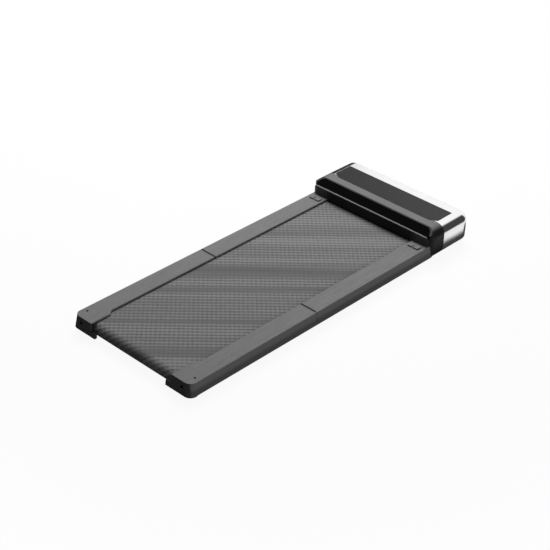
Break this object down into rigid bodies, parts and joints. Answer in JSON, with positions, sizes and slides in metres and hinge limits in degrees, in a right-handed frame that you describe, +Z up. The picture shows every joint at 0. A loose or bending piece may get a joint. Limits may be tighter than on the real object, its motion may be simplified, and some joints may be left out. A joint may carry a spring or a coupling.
{
  "type": "walking pad",
  "caption": "Low folding belt walking pad with grey side rails, a dark running belt, a centre fold hinge and a rounded polished head that holds the display and drive.",
  "frame": {"origin": "on the floor under the middle of the unfolded pad", "axes": "+Y along the pad towards the head, +X to the right when walking towards the head, +Z up"},
  "size_m": [0.565, 1.41, 0.1275],
  "materials": {
    "rail": "fine lengthwise grain",
    "end_plate": "fine matte",
    "belt": "fine woven grip pattern",
    "frame": "powder coat",
    "deck": "waxed fibreboard",
    "rubber": "matte",
    "steel": "zinc plated",
    "hinge": "black oxide",
    "roller": "turned",
    "wrap": "polished",
    "bezel": "satin",
    "panel": "smooth satin",
    "lens": "polished",
    "fascia": "satin",
    "base": "moulded grain",
    "board": "solder mask",
    "motor": "enamel",
    "aluminium": "cast and machined",
    "contacts": "bright",
    "switch": "moulded",
    "rocker": "moulded",
    "wheel": "moulded"
  },
  "bodies": {
    "front": {"back_panel": "base", "base_screws": "steel", "belt_front": "belt", "controller": "aluminium", "display_board": "board", "display_lens": "lens", "drive_belt": "rubber", "drive_motor": "motor", "fold_bumpers": "rail", "front_cross_members": "frame", "front_deck": "deck", "front_deck_cushions": "rubber", "front_feet": "rubber", "front_frame_left": "frame", "front_frame_right": "frame", "front_hinge_leaf_left": "hinge", "front_hinge_leaf_right": "hinge", "front_rail_left": "rail", "front_rail_right": "rail", "front_roller_axle": "steel", "head_base": "base", "head_bezel": "bezel", "head_fascia": "fascia", "head_top_panel": "panel", "head_wrap": "wrap", "hinge_pins": "steel", "inlet_pins": "contacts", "motor_cradle": "aluminium", "motor_plate": "frame", "power_inlet": "switch", "switch_frame": "switch", "wheel_axles": "steel"},
    "rear": {"rear_frame_left": "frame", "rear_frame_right": "frame", "rear_cross_members": "frame", "rear_deck": "deck", "rear_deck_cushions": "rubber", "rear_rail_left": "rail", "rear_rail_right": "rail", "tail_end_plate_left": "end_plate", "tail_end_plate_right": "end_plate", "rail_plugs": "rubber", "rear_hinge_leaf_left": "hinge", "rear_hinge_leaf_right": "hinge", "belt_rear": "belt", "rear_roller_axle": "steel", "tension_blocks": "aluminium", "rear_feet": "rubber"},
    "front_roller": {"front_roller": "roller", "front_roller_bearings": "steel", "front_roller_pulley": "aluminium"},
    "rear_roller": {"rear_roller": "roller", "rear_roller_bearings": "steel"},
    "motor_rotor": {"motor_shaft": "steel", "motor_pulley": "aluminium"},
    "wheel_left": {"transport_wheel_left": "wheel"},
    "wheel_right": {"transport_wheel_right": "wheel"},
    "rocker": {"power_rocker": "rocker"},
    "tension_screw_left": {"tension_screw_left": "steel"},
    "tension_screw_right": {"tension_screw_right": "steel"}
  },
  "joints": [
    {"name": "fold_hinge", "type": "hinge", "parent": "front", "child": "rear", "pos_m": [0, -0.122, 0.0676], "axis": [-1, 0, 0], "range_deg": [0, 179.6]},
    {"name": "front_roller_spin", "type": "hinge", "parent": "front", "child": "front_roller", "pos_m": [0, 0.503, 0.0335], "axis": [1, 0, 0], "continuous": true},
    {"name": "rear_roller_spin", "type": "hinge", "parent": "rear", "child": "rear_roller", "pos_m": [0, -0.664, 0.0335], "axis": [1, 0, 0], "continuous": true},
    {"name": "motor_spin", "type": "hinge", "parent": "front", "child": "motor_rotor", "pos_m": [-0.2, 0.608, 0.07], "axis": [1, 0, 0], "continuous": true},
    {"name": "wheel_left_spin", "type": "hinge", "parent": "front", "child": "wheel_left", "pos_m": [-0.19, 0.673, 0.02], "axis": [1, 0, 0], "continuous": true},
    {"name": "wheel_right_spin", "type": "hinge", "parent": "front", "child": "wheel_right", "pos_m": [0.19, 0.673, 0.02], "axis": [1, 0, 0], "continuous": true},
    {"name": "rocker_tip", "type": "hinge", "parent": "front", "child": "rocker", "pos_m": [-0.028, 0.696, 0.052], "axis": [1, 0, 0], "range_deg": [-7, 7]},
    {"name": "tension_left_turn", "type": "hinge", "parent": "rear", "child": "tension_screw_left", "pos_m": [-0.237, -0.69, 0.0475], "axis": [0, 1, 0], "continuous": true},
    {"name": "tension_right_turn", "type": "hinge", "parent": "rear", "child": "tension_screw_right", "pos_m": [0.237, -0.69, 0.0475], "axis": [0, 1, 0], "continuous": true}
  ],
  "couplings": [
    {"joint": "rear_roller_spin", "follows": "front_roller_spin", "ratio": 1},
    {"joint": "motor_spin", "follows": "front_roller_spin", "ratio": 1.6667}
  ]
}
